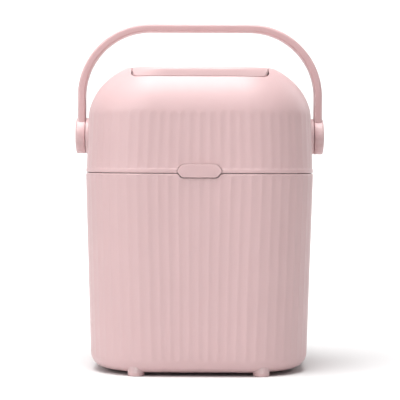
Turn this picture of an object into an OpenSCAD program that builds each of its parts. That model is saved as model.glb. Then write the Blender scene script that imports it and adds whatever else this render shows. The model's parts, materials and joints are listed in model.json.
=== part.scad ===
// Formula dispenser: a portable box for milk powder with a hinged domed lid, a scoop hatch
// in the top of the lid, a press latch at the front and a swinging bail handle.
// Millimetres, +Z up, front towards -Y. The origin is on the floor, at the centre of the footprint.

/* [Box] */
// Width of the box at the seam
box_w = 134.6; // [133.6:0.2:136]
// Depth of the box at the seam
box_d = 114; // [112:0.5:116]
// Plan radius of the four upright corners
corner_r = 39; // [36:0.5:41]
// Height of the seam between body and lid above the floor
seam_z = 117; // [110:1:125]
// Draft of the body walls, in degrees
body_draft = 1.64; // [1:0.1:2]
// Thickness of the outer walls
wall = 2.2; // [2:0.1:2.4]
// Radius between the side walls and the bottom
bottom_r = 9; // [8:0.5:10]

/* [Lid] */
// Height of the lid above the seam
lid_h = 61.8; // [61.5:0.1:62.4]
// Draft of the upright part of the lid, in degrees
lid_draft = 2; // [1.5:0.1:2.2]
// Height of the upright part of the lid, below the dome
upright_h = 31; // [30:0.5:31.5]

/* [Hatch] */
// Width of the hatch door in the top of the lid
hatch_w = 78.6; // [76:0.2:79.2]
// Height of the parting line of the hatch below the top of the lid
hatch_drop = 5.9; // [5.6:0.1:6.2]
// Distance of the hatch hinge in front of the middle of the box
hatch_hinge_d = 10; // [9.8:0.1:10.4]

/* [Handle] */
// Height of the handle pivots above the seam
pivot_h = 21.8; // [21:0.2:23]
// Height of the handle above its pivots
bail_h = 66.9; // [66:0.1:68]
// Half width over the outside of the handle arms
bail_hw = 73.2; // [73.1:0.1:73.3]
// Thickness of the handle strap
strap_t = 4.45; // [4.3:0.05:4.5]
// Width of the handle strap from front to back
strap_w = 14; // [12:0.5:14]
// Outer radius of the handle's upper corners
bail_r = 43.2; // [42:0.2:45]
// Radius of the pivot hubs
hub_r = 10.7; // [10:0.1:11]

/* [Feet] */
// Height of the feet
foot_h = 1.8; // [1.6:0.1:2]
// Radius of the feet
foot_r = 4.8; // [4.5:0.1:5]
// Distance of the feet from the middle, left and right
foot_x = 36.2; // [34:0.2:37]
// Distance of the feet from the middle, front and back
foot_y = 45.5; // [44:0.5:46]

/* [Hidden] */
$fn = 96;
EPS = 0.01;
corner_steps = 12;
pink = [0.93, 0.74, 0.74];
milk = [0.95, 0.94, 0.92];
silicone = [0.86, 0.87, 0.87];
steel = [0.72, 0.73, 0.75];

// Seam and rims
seam_gap = 0.6;
rim_z = seam_z - seam_gap / 2;
lid_rim_z = seam_z + seam_gap / 2;
rim_t = 1.3;
step_z = seam_z - 5;
floor_z = foot_h + wall;
lid_top = seam_z + lid_h;

// Dome of the lid: an elliptic inset, smaller from front to back than from side to side
dome_z = seam_z + upright_h;
dome_a = 40;
dome_b = 35;
dome_depth_ratio = 0.8;
dome_corner_ratio = 0.6;

// Rear hinge
hinge_r = 3;
hinge_pin_r = 1.2;
hinge_gap = 0.4;
hinge_y = box_d / 2 + hinge_r + 0.5;
lid_knuckle = 12;
body_knuckle = 24;

// Fits
running = 0.05;
foot_peg_r = 1.9;
foot_peg_h = 1.6;
foot_boss_h = 5.5;

// Tub and lid liner, as insets from the outer face
tub_inset = 6.6;
tub_wall = 1.6;
tub_z = floor_z + 1.6;
tub_rim_z = seam_z - 0.8;
plug_inset = tub_inset + tub_wall + 1.4;
liner_z = seam_z + 0.8;
liner_t = 2;
plug_z = seam_z - 4.2;

// Latch
tab_proud = 0.5;
tab_mid_z = seam_z + 1.4;
tab_half_h = 3.8;
tab_half_w = 13.2;
tab_flat = 10.2;
tab_y = -box_d / 2 - tab_proud;
latch_arm_y = -box_d / 2 + 3.4;
latch_arm_t = 1.4;
latch_half_w = 8;
latch_pivot_y = latch_arm_y + 2;
latch_pivot_z = seam_z + 10;
latch_eye_r = 2.3;
latch_pin_r = 1;
latch_lug_t = 2.5;
spring_z = seam_z + 5.5;
spring_stop_y = -box_d / 2 + 9;

// Hatch
hatch_z = lid_top - hatch_drop;
hatch_top = lid_top - 0.3;
hatch_t = 1.9;
hatch_side_gap = 0.7;
hatch_corner_r = 7.5;
lip_lean = 0.2;
lip_r = 1.8;
hatch_hinge_y = -hatch_hinge_d;
hatch_hinge_z = hatch_top - hatch_t;
hatch_pin_r = 0.75;
hatch_pin_l = hatch_w + 4.8;
frame_t = 3;
frame_z = hatch_z - 0.4 - frame_t;
throat_hx = 35.5;
throat_front = -37;
throat_back = -13.2;
throat_r = 11;

// Handle pivots
pivot_z = seam_z + pivot_h;
pad_x = 68.35;
eye_x = 68.65;
eye_out = bail_hw + 0.1;
counterbore = 1.4;
boss_seat = box_w / 2 - 3.8;
boss_in = boss_seat - 1.8;
boss_r = 5;
boss_out = eye_out - counterbore + 0.1;
washer_t = 0.7;
screw_r = 1.5;
cap_t = 1.35;

// The box stands behind or in front of the origin so that the whole footprint is centred on it
front_y = tab_y;
back_y = hinge_y + hinge_r;
box_y = -(front_y + back_y) / 2;

// ---- shared shapes ----

// A rounded rectangle of half sizes hx and hy and corner radius r, at height z
function ring(hx, hy, r, z) = [
    for (q = [0:3], i = [0:corner_steps])
        let (a = 90 * (q + i / corner_steps),
             sx = (q == 0 || q == 3) ? 1 : -1,
             sy = q < 2 ? 1 : -1)
        [sx * (hx - r) + r * cos(a), sy * (hy - r) + r * sin(a), z]];

function body_lean(z) = (seam_z - z) * tan(body_draft);
function body_ring(z, inset) = ring(
    box_w / 2 - body_lean(z) - inset, box_d / 2 - body_lean(z) - inset, corner_r - inset, z);

// A ring of the body's inner or outer foot: angle a runs from 0, on the bottom, to 90, on the wall
function foot_ring(z, r, inset, a) = body_ring(z + r * (1 - cos(a)), inset + r * (1 - sin(a)));

function lid_lean(z) = 0.2 + (z - seam_z) * tan(lid_draft);
function dome_inset(z) = z <= dome_z ? 0 : dome_a * (1 - sqrt(1 - pow((z - dome_z) / dome_b, 2)));
function lid_ring(z, inset, drop = 0) = ring(
    box_w / 2 - lid_lean(z) - dome_inset(z) - inset,
    box_d / 2 - lid_lean(z) - dome_depth_ratio * dome_inset(z) - inset,
    corner_r - dome_corner_ratio * dome_inset(z) - inset, z - drop);

// Heights at which the dome is drawn, closer together towards the top
function dome_levels(top) = [
    for (k = [0:7]) dome_z + (top - dome_z) * sin(90 * k / 7)];

// Share of the wall thickness that goes sideways at a height: all on the upright wall, less on the dome
function side_share(z, top) = 1 - 0.6 * pow(max(0, (z - dome_z) / (top - dome_z)), 2);
function inner_ring(z, t, top) = let (k = side_share(z, top))
    lid_ring(z, t * k, t * sqrt(1 - k * k));

// The hatch door follows the dome from side to side, but its front is a lip, steeper than the dome
function lip_inset(z) = let (s = hatch_top - z) (z - hatch_z) * lip_lean
    + (s < lip_r ? lip_r - sqrt(lip_r * lip_r - pow(lip_r - s, 2)) : 0);
function door_ring(z, inset, drop = 0) = ring(
    box_w / 2 - lid_lean(z) - dome_inset(z) - inset,
    box_d / 2 - lid_lean(hatch_z) - dome_depth_ratio * dome_inset(hatch_z) - lip_inset(z) - inset,
    corner_r - dome_corner_ratio * dome_inset(z) - inset, z - drop);

// Plan outline of the hatch, g outside the door: straight sides, rounded corners and the dome's own curve
function hatch_outline(g, back) =
    let (fall = dome_inset(hatch_z),
         r = corner_r - dome_corner_ratio * fall,
         cx = box_w / 2 - lid_lean(hatch_z) - fall - r,
         cy = box_d / 2 - lid_lean(hatch_z) - dome_depth_ratio * fall - r,
         sx = hatch_w / 2 - hatch_corner_r,
         sy = cy + sqrt(pow(r - hatch_corner_r, 2) - pow(sx - cx, 2)),
         turn = atan2(sy - cy, sx - cx),
         right = concat([[hatch_w / 2 + g, back]],
            [for (k = [0:6]) let (a = -turn * k / 6)
                [sx + (hatch_corner_r + g) * cos(a), -sy + (hatch_corner_r + g) * sin(a)]],
            [for (k = [1:8]) let (a = -turn - (90 - turn) * k / 8)
                [cx + (r + g) * cos(a), -cy + (r + g) * sin(a)]]))
    concat(right, [for (k = [len(right) - 1:-1:0]) [-right[k].x, right[k].y]]);

// A closed solid through a stack of rings
module loft(rings) {
    n = len(rings[0]);
    m = len(rings);
    sides = [for (k = [0:m - 2], i = [0:n - 1]) let (j = (i + 1) % n)
        each [[k * n + i, (k + 1) * n + j, k * n + j],
              [k * n + i, (k + 1) * n + i, (k + 1) * n + j]]];
    first = [for (i = [0:n - 1]) i];
    last = [for (i = [n - 1:-1:0]) (m - 1) * n + i];
    polyhedron(points = [for (r = rings) each r], faces = concat([first], sides, [last]), convexity = 8);
}

module lid_solid(top) {
    loft(concat([lid_ring(lid_rim_z, 0)], [for (z = dome_levels(top)) lid_ring(z, 0)]));
}

module door_solid(inset, top) {
    loft([for (z = concat([hatch_z - 0.5, hatch_z], [for (k = [0:5]) hatch_top - lip_r * (1 - sin(18 * k))]))
        door_ring(z, inset, hatch_top - top)]);
}

module lid_cavity(t, top) {
    loft(concat([lid_ring(lid_rim_z - 1, t)], [for (z = dome_levels(top)) inner_ring(z, t, top)]));
}

// A flat outline extruded along Y from y0 to y1, drawn in X and Z
module along_y(y0, y1) {
    translate([0, y1, 0]) rotate([90, 0, 0]) linear_extrude(y1 - y0) children();
}

// A flat outline extruded along X from x0 to x1, drawn in Y and Z
module along_x(x0, x1) {
    translate([x0, 0, 0]) rotate([90, 0, 90]) linear_extrude(x1 - x0) children();
}

// A round bar along X
module bar_x(r, x0, x1, y, z) {
    translate([x0, y, z]) rotate([0, 90, 0]) cylinder(r = r, h = x1 - x0);
}

module block(x0, x1, y0, y1, z0, z1) {
    translate([x0, y0, z0]) cube([x1 - x0, y1 - y0, z1 - z0]);
}

// A rounded rectangle outline between two corners
module slab_2d(x0, x1, y0, y1, r) {
    translate([x0 + r, y0]) square([x1 - x0 - 2 * r, y1 - y0]);
    translate([x0, y0 + r]) square([x1 - x0, y1 - y0 - 2 * r]);
    for (x = [x0 + r, x1 - r], y = [y0 + r, y1 - r]) translate([x, y]) circle(r);
}

module place() {
    translate([0, box_y, 0]) children();
}

// The left and right pieces are mirror images
module on_side(side) {
    if (side < 0) mirror([1, 0, 0]) children();
    else children();
}

// ---- latch outline: a long hexagon across the seam ----

module tab_2d(gap) {
    polygon([
        [-tab_half_w - 1.3 * gap, tab_mid_z], [-tab_flat - 0.6 * gap, tab_mid_z - tab_half_h - gap],
        [tab_flat + 0.6 * gap, tab_mid_z - tab_half_h - gap], [tab_half_w + 1.3 * gap, tab_mid_z],
        [tab_flat + 0.6 * gap, tab_mid_z + tab_half_h + gap],
        [-tab_flat - 0.6 * gap, tab_mid_z + tab_half_h + gap]]);
}

// ---- body ----

// The feet stand on short bosses, which come out through the rounded bottom edge
module body_cup() {
    difference() {
        union() {
            loft(concat([for (a = [0:15:90]) foot_ring(foot_h, bottom_r, 0, a)],
                        [body_ring(rim_z - 0.8, 0), body_ring(rim_z, 0.5)]));
            for (x = [-foot_x, foot_x], y = [-foot_y, foot_y])
                translate([x, y, foot_h]) cylinder(r = foot_r, h = foot_boss_h);
        }
        loft(concat([for (a = [0:18:90]) foot_ring(floor_z, bottom_r - wall, wall, a)],
                    [body_ring(step_z, wall), body_ring(step_z, rim_t), body_ring(rim_z + 1, rim_t)]));
    }
}

// One side of a knuckle: a barrel with a web that runs down the wall, or up it when dir is 1
module knuckle(x0, x1, dir) {
    along_x(x0, x1) polygon([
        [box_d / 2 - 1, seam_z + dir * 11.5], [box_d / 2 - 0.3, seam_z + dir * 11.5],
        [hinge_y + hinge_r * 0.9, seam_z + dir * hinge_r * 0.44], [hinge_y, seam_z],
        [hinge_y - hinge_r, seam_z + dir * 0.6], [box_d / 2 - 1, seam_z + dir * 0.8]]);
    bar_x(hinge_r, x0, x1, hinge_y, seam_z);
}

module body_shell() {
    color(pink) place() difference() {
        union() {
            body_cup();
            for (side = [-1, 1]) on_side(side)
                knuckle(lid_knuckle + hinge_gap, body_knuckle, -1);
        }
        bar_x(hinge_pin_r, -body_knuckle - 1, body_knuckle + 1, hinge_y, seam_z);
        along_y(-box_d / 2 - 2, -box_d / 2 + 4) tab_2d(0.7);
        block(-6, 6, -box_d / 2 + 1, -box_d / 2 + 3, seam_z - 9, seam_z - 6);
        for (x = [-foot_x, foot_x], y = [-foot_y, foot_y])
            translate([x, y, foot_h - 1]) cylinder(r = foot_peg_r + running, h = 1 + foot_peg_h + running);
    }
}

module powder_tub() {
    tub_r = 5;
    color(milk) place() difference() {
        union() {
            loft(concat(
                [for (a = [0:22.5:90]) foot_ring(tub_z, tub_r, tub_inset, a)],
                [body_ring(step_z, tub_inset), body_ring(step_z, rim_t + 0.3),
                 body_ring(step_z + 1.8, rim_t + 0.3), body_ring(step_z + 1.8, tub_inset),
                 body_ring(tub_rim_z, tub_inset), body_ring(tub_rim_z, tub_inset + tub_wall)],
                [for (a = [90:-22.5:0])
                    foot_ring(tub_z + tub_wall, tub_r - tub_wall, tub_inset + tub_wall, a)]));
            for (side = [-1, 1]) scale([1, side, 1])
                block(17, 27, box_d / 2 - tub_inset - 5, box_d / 2 - tub_inset - 1.2,
                      seam_z - 15.5, seam_z - 13.5);
        }
        block(-14.5, 14.5, -box_d / 2 - 2, -box_d / 2 + tub_inset - 0.2, step_z - 1, step_z + 3);
    }
}

// The bar that a full scoop is drawn under to level it
module leveller_bar() {
    half = box_d / 2 - tub_inset - tub_wall - 0.6;
    color(milk) place() along_y(-half, half)
        polygon([[20.5, seam_z - 13.5], [23.5, seam_z - 13.5], [22.8, seam_z - 6], [21.2, seam_z - 6]]);
}

module foot(sx, sy) {
    color(pink) place() translate([sx * foot_x, sy * foot_y, 0]) rotate_extrude() polygon([
        [0, 0], [foot_r - 0.6, 0], [foot_r - 0.2, 0.2], [foot_r, 0.6], [foot_r, foot_h],
        [foot_peg_r, foot_h], [foot_peg_r, foot_h + foot_peg_h], [0, foot_h + foot_peg_h]]);
}

module hinge_pin() {
    color(steel) place()
        bar_x(hinge_pin_r, -body_knuckle + 0.5, body_knuckle - 0.5, hinge_y, seam_z);
}

// ---- lid ----

module lid_shell() {
    color(pink) place() difference() {
        union() {
            difference() {
                lid_solid(lid_top);
                difference() {
                    lid_cavity(wall, lid_top);
                    block(-44, 44, -box_d / 2, hatch_hinge_y + 6, frame_z, lid_top + 1);
                }
            }
            knuckle(-lid_knuckle, lid_knuckle, 1);
            for (side = [-1, 1]) on_side(side) {
                bar_x(hub_r, box_w / 2 - 2.4, pad_x, 0, pivot_z);
                bar_x(9.5, boss_seat, 66.5, 0, pivot_z);
                block(latch_half_w + 0.8, latch_half_w + 0.8 + latch_lug_t, -box_d / 2 + 1.5,
                      latch_pivot_y + 2.3, latch_pivot_z - 2.6, latch_pivot_z + 2.6);
                for (y = [-1, 1]) scale([1, y, 1])
                    block(24, 32, box_d / 2 - 4.4, box_d / 2 - 1.8, liner_z + liner_t + 0.1, liner_z + 4.4);
            }
        }
        // hinge, handle and latch bores
        bar_x(hinge_pin_r + running, -lid_knuckle - 1, lid_knuckle + 1, hinge_y, seam_z);
        for (side = [-1, 1]) on_side(side) bar_x(boss_r, 60, 70, 0, pivot_z);
        bar_x(latch_pin_r, -latch_half_w - 5, latch_half_w + 5, latch_pivot_y, latch_pivot_z);
        along_y(-box_d / 2 - 2, -box_d / 2 + 4) tab_2d(0.3);
        // seat of the hatch, the throat below it and the hatch hinge
        translate([0, 0, hatch_z - 0.4]) linear_extrude(20)
            polygon(hatch_outline(hatch_side_gap, hatch_hinge_y + hatch_t + 0.35));
        translate([0, 0, frame_z - 1]) linear_extrude(20)
            slab_2d(-throat_hx, throat_hx, throat_front, throat_back, throat_r);
        bar_x(hatch_pin_r, -hatch_pin_l / 2, hatch_pin_l / 2, hatch_hinge_y, hatch_hinge_z);
        tray_screw_places() cylinder(r = 1.1, h = frame_t - 0.4 + EPS);
    }
}

module lid_liner() {
    color(milk) place() difference() {
        union() {
            loft([lid_ring(liner_z, wall + 0.3), lid_ring(liner_z + liner_t, wall + 0.35)]);
            loft([body_ring(plug_z, plug_inset), body_ring(liner_z + EPS, plug_inset)]);
            block(-6, 6, spring_stop_y, spring_stop_y + 1.5, liner_z + liner_t - 1, seam_z + 9);
        }
        loft([body_ring(plug_z - 1, plug_inset + 1.6), body_ring(liner_z, plug_inset + 1.6)]);
        block(-14.5, 14.5, -box_d / 2, -box_d / 2 + 7.2, liner_z - 1, liner_z + liner_t + 1);
    }
}

// The silicone ring round the plug, which closes the mouth of the tub
module lid_seal() {
    color(silicone) place() difference() {
        loft([body_ring(plug_z + 0.4, plug_inset - 0.7), body_ring(plug_z + 1.2, plug_inset - 1.1),
              body_ring(plug_z + 2.6, plug_inset - 1.1), body_ring(plug_z + 3.4, plug_inset - 0.7)]);
        loft([body_ring(plug_z - 1, plug_inset), body_ring(plug_z + 5, plug_inset)]);
    }
}

// The flange's front corners are rounded enough to clear the dome
module scoop_tray() {
    tray_floor = frame_z - 36;
    flange_hx = 43;
    flange_front = throat_front - 2.6;
    flange_back = throat_back + 6;
    flange_r = 17.5;
    color(milk) place() difference() {
        union() {
            translate([0, 0, tray_floor]) linear_extrude(36)
                slab_2d(-throat_hx - 1.6, throat_hx + 1.6, throat_front - 1.6, throat_back + 1.6, throat_r);
            translate([0, 0, frame_z - 1.5]) linear_extrude(1.5) intersection() {
                slab_2d(-flange_hx, flange_hx, flange_front, flange_front + 50, flange_r);
                translate([-flange_hx, flange_front]) square([2 * flange_hx, flange_back - flange_front]);
            }
        }
        translate([0, 0, tray_floor + 1.6]) linear_extrude(40)
            slab_2d(-throat_hx, throat_hx, throat_front, throat_back, throat_r);
        translate([0, 0, -2]) tray_screw_places() cylinder(r = 1.3, h = 4);
    }
}

module tray_screw_places() {
    for (x = [-39.8, 39.8], y = [-26, -13]) translate([x, y, frame_z - EPS]) children();
}

module tray_screws() {
    color(steel) place() tray_screw_places() {
        translate([0, 0, -1.5]) cylinder(r = 1.1, h = 1.5 + frame_t - 0.6);
        translate([0, 0, -2.9]) cylinder(r = 2.2, h = 1.4);
    }
}

module scoop() {
    cup_r = 11.3;
    cup_h = 23;
    cup_x = -23.5;
    cup_y = (throat_front + throat_back) / 2;
    cup_z = frame_z - 34.2;
    color(milk) place() translate([cup_x, cup_y, cup_z]) difference() {
        union() {
            cylinder(r1 = cup_r - 1, r2 = cup_r, h = cup_h);
            translate([0, -4.5, cup_h - 1.8]) cube([57.5, 9, 1.8]);
            translate([10, -1, cup_h - 6]) cube([44, 2, 5]);
        }
        translate([0, 0, 1.2]) cylinder(r1 = cup_r - 2.2, r2 = cup_r - 1.2, h = cup_h);
    }
}

// ---- hatch ----

module hatch_ring_2d(inset, t) {
    difference() {
        slab_2d(-throat_hx + inset, throat_hx - inset, throat_front + inset,
                throat_back - inset, throat_r - inset);
        slab_2d(-throat_hx + inset + t, throat_hx - inset - t, throat_front + inset + t,
                throat_back - inset - t, throat_r - inset - t);
    }
}

module hatch_door() {
    color(pink) place() difference() {
        union() {
            difference() {
                intersection() {
                    door_solid(0, hatch_top);
                    translate([0, 0, hatch_z]) linear_extrude(10) polygon(hatch_outline(0, hatch_hinge_y));
                }
                intersection() {
                    door_solid(hatch_t, hatch_top - hatch_t);
                    translate([0, 0, hatch_z - 1]) linear_extrude(10)
                        polygon(hatch_outline(-hatch_t, hatch_hinge_y + 1));
                }
            }
            translate([0, 0, hatch_z]) linear_extrude(hatch_top - hatch_z - 1) hatch_ring_2d(1, 1.6);
            bar_x(hatch_t, -hatch_w / 2, hatch_w / 2, hatch_hinge_y, hatch_hinge_z);
        }
        bar_x(hatch_pin_r + running, -hatch_w, hatch_w, hatch_hinge_y, hatch_hinge_z);
    }
}

module hatch_seal() {
    color(silicone) place() translate([0, 0, hatch_z - 2.4]) linear_extrude(2.4) hatch_ring_2d(0.8, 2);
}

module hatch_pin() {
    color(steel) place()
        bar_x(hatch_pin_r, -hatch_pin_l / 2, hatch_pin_l / 2, hatch_hinge_y, hatch_hinge_z);
}

// ---- latch ----

module latch_button() {
    arm_back = latch_arm_y + latch_arm_t;
    color(pink) place() difference() {
        union() {
            along_y(tab_y, latch_arm_y + EPS) tab_2d(0);
            block(-latch_half_w, latch_half_w, latch_arm_y, arm_back, seam_z - 8.5, latch_pivot_z);
            along_x(-5, 5) polygon([
                [latch_arm_y + EPS, seam_z - 8.5], [latch_arm_y + EPS, seam_z - 5.5],
                [latch_arm_y - 0.5, seam_z - 6.5]]);
            bar_x(latch_eye_r, -latch_half_w, latch_half_w, latch_pivot_y, latch_pivot_z);
        }
        bar_x(latch_pin_r + running, -latch_half_w - 1, latch_half_w + 1, latch_pivot_y, latch_pivot_z);
    }
}

module latch_pin() {
    half = latch_half_w + 0.8 + latch_lug_t;
    color(steel) place() bar_x(latch_pin_r, -half, half, latch_pivot_y, latch_pivot_z);
}

// A round wire swept along a helix, with the axis along Z
module coil(r, wire, pitch, turns) {
    steps = 16;
    sides = 8;
    count = turns * steps;
    rings = [for (k = [0:count]) let (a = 360 * k / steps, z = pitch * k / steps)
        [for (s = [0:sides - 1]) let (b = 360 * s / sides, d = r + wire * cos(b))
            [d * cos(a), d * sin(a), z + wire * sin(b)]]];
    mirror([0, 1, 0]) loft(rings);
}

module latch_spring() {
    wire = 0.3;
    start = latch_arm_y + latch_arm_t + wire + 0.02;
    length = spring_stop_y - start - wire - 0.02;
    color(steel) place() translate([0, start, spring_z]) rotate([-90, 0, 0])
        coil(1.8, wire, length / 4, 4);
}

// ---- handle ----

module bail_2d(hw, top, r) {
    translate([-hw, 0]) square([2 * hw, top - r]);
    translate([-hw + r, 0]) square([2 * (hw - r), top]);
    for (x = [-hw + r, hw - r]) translate([x, top - r]) circle(r, $fn = 128);
}

module bail_handle() {
    inner_hw = bail_hw - strap_t;
    color(pink) place() difference() {
        union() {
            translate([0, 0, pivot_z]) along_y(-strap_w / 2, strap_w / 2) difference() {
                bail_2d(bail_hw, bail_h, bail_r);
                bail_2d(inner_hw, bail_h - strap_t, bail_r - strap_t);
                translate([-100, -100]) square([200, 100]);
            }
            for (side = [-1, 1]) on_side(side) bar_x(hub_r, eye_x, eye_out, 0, pivot_z);
        }
        for (side = [-1, 1]) on_side(side) {
            bar_x(boss_r + running, eye_x - 1, eye_out, 0, pivot_z);
            bar_x(8.3, eye_out - counterbore, eye_out + 1, 0, pivot_z);
        }
    }
}

module pivot_boss(side) {
    color(milk) place() on_side(side) difference() {
        union() {
            bar_x(9, boss_in, boss_seat, 0, pivot_z);
            bar_x(boss_r, boss_seat, boss_out, 0, pivot_z);
        }
        bar_x(screw_r, boss_in - 1, boss_out + 1, 0, pivot_z);
    }
}

module pivot_washer(side) {
    color(steel) place() on_side(side) difference() {
        bar_x(7.9, boss_out, boss_out + washer_t, 0, pivot_z);
        bar_x(screw_r, boss_out - 1, boss_out + 2, 0, pivot_z);
    }
}

module pivot_screw(side) {
    color(steel) place() on_side(side) {
        bar_x(screw_r, boss_in + 1, boss_out + washer_t, 0, pivot_z);
        bar_x(3.2, boss_out + washer_t, eye_out + 0.6, 0, pivot_z);
    }
}

module hub_cap(side) {
    color(pink) place() on_side(side)
        translate([eye_out, 0, pivot_z]) rotate([0, 90, 0]) rotate_extrude() polygon([
            [0, 0.75], [6.9, 0.75], [6.9, 0], [7, 0], [7, -0.45], [8.2, -0.45], [8.2, 0],
            [hub_r, 0], [hub_r - 0.15, 0.35], [hub_r - 0.6, 0.7], [hub_r - 2.2, 1.1], [5, cap_t], [0, cap_t]]);
}

body_shell();
powder_tub();
leveller_bar();
foot(-1, -1);  // foot_front_left
foot(1, -1);  // foot_front_right
foot(-1, 1);  // foot_rear_left
foot(1, 1);  // foot_rear_right
hinge_pin();
lid_shell();
lid_liner();
lid_seal();
scoop_tray();
tray_screws();
scoop();
hatch_door();
hatch_seal();
hatch_pin();
latch_button();
latch_pin();
latch_spring();
bail_handle();
pivot_boss(-1);  // pivot_boss_left
pivot_boss(1);  // pivot_boss_right
pivot_washer(-1);  // pivot_washer_left
pivot_washer(1);  // pivot_washer_right
pivot_screw(-1);  // pivot_screw_left
pivot_screw(1);  // pivot_screw_right
hub_cap(-1);  // hub_cap_left
hub_cap(1);  // hub_cap_right
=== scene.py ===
import json
import math

import bpy
import numpy as np
from mathutils import Matrix, Vector


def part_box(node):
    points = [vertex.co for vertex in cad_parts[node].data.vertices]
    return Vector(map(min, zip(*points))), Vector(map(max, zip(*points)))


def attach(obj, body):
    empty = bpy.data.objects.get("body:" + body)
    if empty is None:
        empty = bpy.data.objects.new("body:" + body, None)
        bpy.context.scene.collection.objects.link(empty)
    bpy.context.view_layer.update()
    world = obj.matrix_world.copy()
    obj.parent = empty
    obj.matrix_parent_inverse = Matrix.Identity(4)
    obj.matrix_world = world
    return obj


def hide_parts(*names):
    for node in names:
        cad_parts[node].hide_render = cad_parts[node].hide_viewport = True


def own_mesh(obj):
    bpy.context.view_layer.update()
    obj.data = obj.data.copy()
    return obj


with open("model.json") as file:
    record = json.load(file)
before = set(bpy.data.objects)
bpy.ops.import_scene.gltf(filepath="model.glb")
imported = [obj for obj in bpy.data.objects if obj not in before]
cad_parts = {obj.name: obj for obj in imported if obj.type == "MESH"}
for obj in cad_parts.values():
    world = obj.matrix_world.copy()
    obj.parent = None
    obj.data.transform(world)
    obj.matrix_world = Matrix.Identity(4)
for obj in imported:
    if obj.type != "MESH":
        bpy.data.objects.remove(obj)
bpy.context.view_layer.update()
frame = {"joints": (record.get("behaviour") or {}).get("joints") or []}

# ---------------------------------------------------------------- sizes
# Shapes are drawn in millimetres in the box's own frame: X and Z as in the frame, Y from the box's centre.
MM = 0.001
JOINTS = {joint["name"]: joint for joint in frame["joints"]}


def joint_place(name):
    return [v / MM for v in JOINTS[name]["pos_m"]]


def node_box(name):
    low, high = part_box(name)
    return [v / MM for v in low], [v / MM for v in high]


_, box_y, PIVOT_Z = joint_place("handle_swing")
_, hinge_row_y, SEAM_Z = joint_place("lid_hinge")
_, hatch_row_y, HATCH_AXIS_Z = joint_place("hatch_hinge")
_, latch_row_y, LATCH_AXIS_Z = joint_place("latch_press")
PIVOT = (0, 0, PIVOT_Z)
HINGE_Y = hinge_row_y - box_y
HATCH_AXIS_Y = hatch_row_y - box_y
LATCH_AXIS_Y = latch_row_y - box_y

BOX_W = 134.6
HINGE_R = 3.0
BOX_D = 2 * (HINGE_Y - HINGE_R - 0.5)
CORNER_R = 39.0
WALL = 2.2
BODY_DRAFT = math.radians(1.64)
LID_DRAFT = math.radians(2.0)
BOTTOM_R = 9.0
FOOT_H = node_box("body_shell")[0][2]
FOOT_BOSS_H = 5.5
FOOT_PEG_R = 1.9
SEAM_GAP = 0.36
RIM_Z = SEAM_Z - SEAM_GAP / 2
LID_RIM_Z = SEAM_Z + SEAM_GAP / 2
LID_STEP = 0.2
RIM_T = 1.3
STEP_Z = SEAM_Z - 5
FLOOR_Z = FOOT_H + WALL
LID_TOP = node_box("lid_shell")[1][2]
DOME_Z = SEAM_Z + 31
DOME_A = 40.0
DOME_B = 35.0
DOME_DEPTH_RATIO = 0.8
DOME_CORNER_RATIO = 0.6

FLUTES = 72
FLUTE_DEPTH = 0.3
FLUTE_STEPS = (0, 0.035, 0.08, 0.15, 0.25, 0.37, 0.5, 0.63, 0.75, 0.85, 0.92, 0.965)

TUB_INSET = 6.6
TUB_WALL = 1.6
TUB_Z = FLOOR_Z + 1.6
TUB_RIM_Z = SEAM_Z - 0.8
PLUG_INSET = TUB_INSET + TUB_WALL + 1.4
LINER_Z = SEAM_Z + 0.8
LINER_T = 2.0
PLUG_Z = SEAM_Z - 4.2

HATCH_T = 1.9
HATCH_TOP = HATCH_AXIS_Z + HATCH_T
HATCH_HALF_W = node_box("hatch_door")[1][0]
HATCH_Z = node_box("hatch_door")[0][2]
HATCH_GAP = 0.12
RECESS_Z = HATCH_Z - HATCH_GAP
HATCH_CORNER_R = 7.5
LIP_LEAN = 0.2
LIP_R = 1.8
THROAT = (-35.5, 35.5, -37.0, -13.2, 11.0)
FRAME_Z = HATCH_Z - 3.4
FRAME_HALF_W = 43.0

STRAP_T = 4.45
STRAP_W = 14.0
BAIL_HW = 73.2
BAIL_TOP = node_box("bail_handle")[1][2]
BAIL_R = 43.2
HUB_R = 10.7
PAD_X = 68.35
EYE_X = 68.65
EYE_OUT = BAIL_HW + 0.1
BOSS_SEAT = BOX_W / 2 - 3.8
BOSS_IN = BOSS_SEAT - 1.8
BOSS_R = 5.0
SCREW_R = 1.5

LATCH_R = 2.3
NOTCH_HALF_W = 14.5
BODY_TAB_GAP = 0.42
LID_TAB_GAP = 0.22
LID_KNUCKLE = (-12.0, 12.0)
BODY_KNUCKLE = (12.4, 24.0)


# ---------------------------------------------------------------- mesh building
def link(item):
    bpy.context.scene.collection.objects.link(item)


class Shape:
    """Closed shells in millimetres, gathered into one mesh."""

    def __init__(self):
        self.verts = []
        self.faces = []

    def add(self, part):
        verts, faces = part
        start = len(self.verts)
        self.verts += [tuple(float(c) for c in v) for v in verts]
        self.faces += [tuple(start + i for i in face) for face in faces]
        return self

    def object(self, name):
        mesh = bpy.data.meshes.new(name)
        points = [(x * MM, (y + box_y) * MM, z * MM) for x, y, z in self.verts]
        mesh.from_pydata(points, [], self.faces)
        mesh.update()
        piece = bpy.data.objects.new(name, mesh)
        link(piece)
        return piece


def stack(rings, caps=(True, True), wrap=False):
    """Quads between rings of points that run counter-clockwise seen from the far end."""
    rings = [np.asarray(r, float) for r in rings]
    n = len(rings[0])
    m = len(rings)
    faces = []
    for k in range(m if wrap else m - 1):
        low = k * n
        high = ((k + 1) % m) * n
        faces += [(low + i, low + (i + 1) % n, high + (i + 1) % n, high + i) for i in range(n)]
    if not wrap and caps[0]:
        faces.append(tuple(range(n - 1, -1, -1)))
    if not wrap and caps[1]:
        faces.append(tuple((m - 1) * n + i for i in range(n)))
    return np.vstack(rings), faces


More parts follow.
